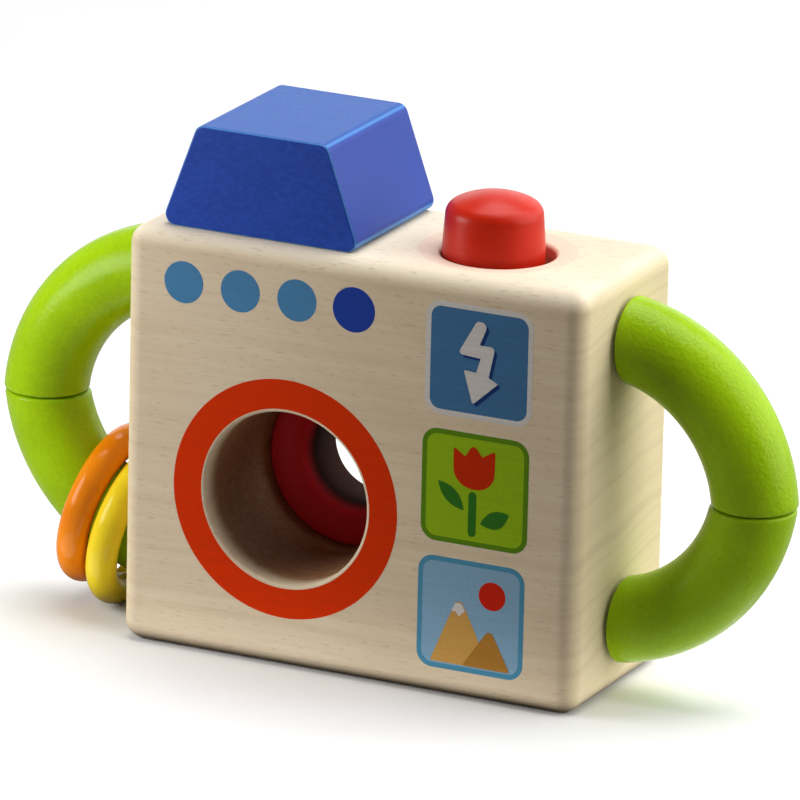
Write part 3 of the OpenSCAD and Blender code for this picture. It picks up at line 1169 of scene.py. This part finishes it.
def printedHills():
    centre = hillSign["centre"]
    printPanel("hillPanel", centre, printInk("hillBorderInk", hillSign["border"]),
               printInk("skyInk", hillSign["ground"]))
    farInk = printInk("farHillInk", hillSign["far"])
    nearInk = printInk("nearHillInk", hillSign["near"])
    hills = (("farHill", 1, farInk), ("farSnow", 2, whiteInk), ("nearHill", 2, nearInk))
    for name, level, hillInk in hills:
        inkShape(name, rounded(moved(hillSign[name], centre)), level, hillInk)
    middle = (centre[0] + hillSign["sunMiddle"][0], centre[1] + hillSign["sunMiddle"][1])
    sun = circle(middle, hillSign["sunRadius"], hillSign["sunSteps"])
    inkShape("lowSun", sun, 1, printInk("sunInk", hillSign["sun"]))


printedRing()
printedDots()
printedFlash()
printedFlower()
printedHills()
print("front printed")


# Hidden wooden pins and plugs keep their solids and take the beech finish

def dressPins():
    for node in (*dowelNodes, "button_stop_pin", *plugNodes):
        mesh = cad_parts[node].data
        mesh.materials.clear()
        mesh.materials.append(beechFinish)


dressPins()
print("pins dressed")


# Floor and light

studio = {
    "floorSize": 30.0,
    "shadowReach": 0.30,
    "floorSeen": (0.92, 0.92, 0.92),
    "floorBounce": (0.19, 0.175, 0.16),
    "world": 0.030,
    "mirrored": 0.3,  # share of the white room that gloss reflects
    "boxes": {
        "topBox": {"place": (0.05, 0.30, 1.40), "aim": (0, 0, 0.05), "size": (1.2, 1.2), "power": 19.0},
        "backBox": {"place": (-0.20, 1.70, 0.60), "aim": (0, 0, 0.10), "size": (2.6, 1.1), "power": 9.0},
        "leftBox": {"place": (-0.20, -0.14, 0.12), "aim": (0, 0, 0.05), "size": (0.12, 0.12), "power": 0.40},
        "rightBox": {"place": (0.56, 0.24, 0.38), "aim": (0, 0, 0.05), "size": (0.8, 0.8), "power": 5.4},
        # low glows stand for light that the white floor throws back up
        "frontGlow": {"place": (0, -0.030, 0.001), "aim": (0, -0.030, 1),
                      "size": (0.100, 0.014), "power": 0.0050},
        "sideGlow": {"place": (0.074, 0, 0.001), "aim": (0.074, 0, 1),
                     "size": (0.046, 0.050), "power": 0.0056},
        "ringGlow": {"place": (-0.074, -0.030, 0.001), "aim": (-0.074, -0.030, 1),
                     "size": (0.034, 0.024), "power": 0.0044},
    },
}


def shownRays(tree):
    seen = tree.node("LightPath", {}, {}, "Is Camera Ray")
    glossy = tree.node("LightPath", {}, {}, "Is Glossy Ray")
    through = tree.node("LightPath", {}, {}, "Is Transmission Ray")
    return tree.maths("MINIMUM", seen + glossy * studio["mirrored"] + through, 1.0)


def addFloor():
    half = studio["floorSize"] / 2
    mesh = bpy.data.meshes.new("floor")
    corners = [(-half, -half, 0), (half, -half, 0), (half, half, 0), (-half, half, 0)]
    mesh.from_pydata(corners, [], [(0, 1, 2, 3)])
    floor = bpy.data.objects.new("floor", mesh)
    bpy.context.scene.collection.objects.link(floor)
    material, tree, place = startMaterial("floorPaper")
    shown = shownRays(tree)
    tint = shown.mix(studio["floorBounce"], studio["floorSeen"])
    paper = tree.node("BsdfDiffuse", {}, {"Color": tint})
    glow = tree.node("Emission", {}, {"Color": (1, 1, 1, 1), "Strength": 1.0})
    # white backdrop beyond the shadow
    far = place.length().ramp(studio["shadowReach"], 2 * studio["shadowReach"])
    paper = tree.node("MixShader", {}, {0: shown * far, 1: paper, 2: glow})
    below = tree.node("NewGeometry", {}, {}, "Backfacing")  # seen from under the floor
    clear = tree.node("BsdfTransparent", {}, {})
    surface = tree.node("MixShader", {}, {0: below, 1: paper, 2: clear})
    tree.node("OutputMaterial", {}, {"Surface": surface})
    mesh.materials.append(material)


def addLights():
    for name, box in studio["boxes"].items():
        lamp = bpy.data.lights.new(name, "AREA")
        lamp.shape = "RECTANGLE"
        lamp.size, lamp.size_y = box["size"]
        lamp.energy = box["power"]
        softbox = bpy.data.objects.new(name, lamp)
        bpy.context.scene.collection.objects.link(softbox)
        softbox.location = box["place"]
        softbox.visible_camera = False
        aim = Vector(box["aim"]) - Vector(box["place"])
        softbox.rotation_euler = aim.to_track_quat("-Z", "Y").to_euler()
    world = bpy.data.worlds.new("studioAir")
    world.use_nodes = True
    world.node_tree.nodes.clear()
    tree = Wire(world.node_tree)
    strength = studio["world"] + shownRays(tree) * (1 - studio["world"])
    air = tree.node("Background", {}, {"Color": (1, 1, 1, 1), "Strength": strength})
    tree.node("OutputWorld", {}, {"Surface": air})
    bpy.context.scene.world = world
    bpy.context.scene.view_settings.view_transform = "Standard"


addFloor()
addLights()
print("floor and lights set")
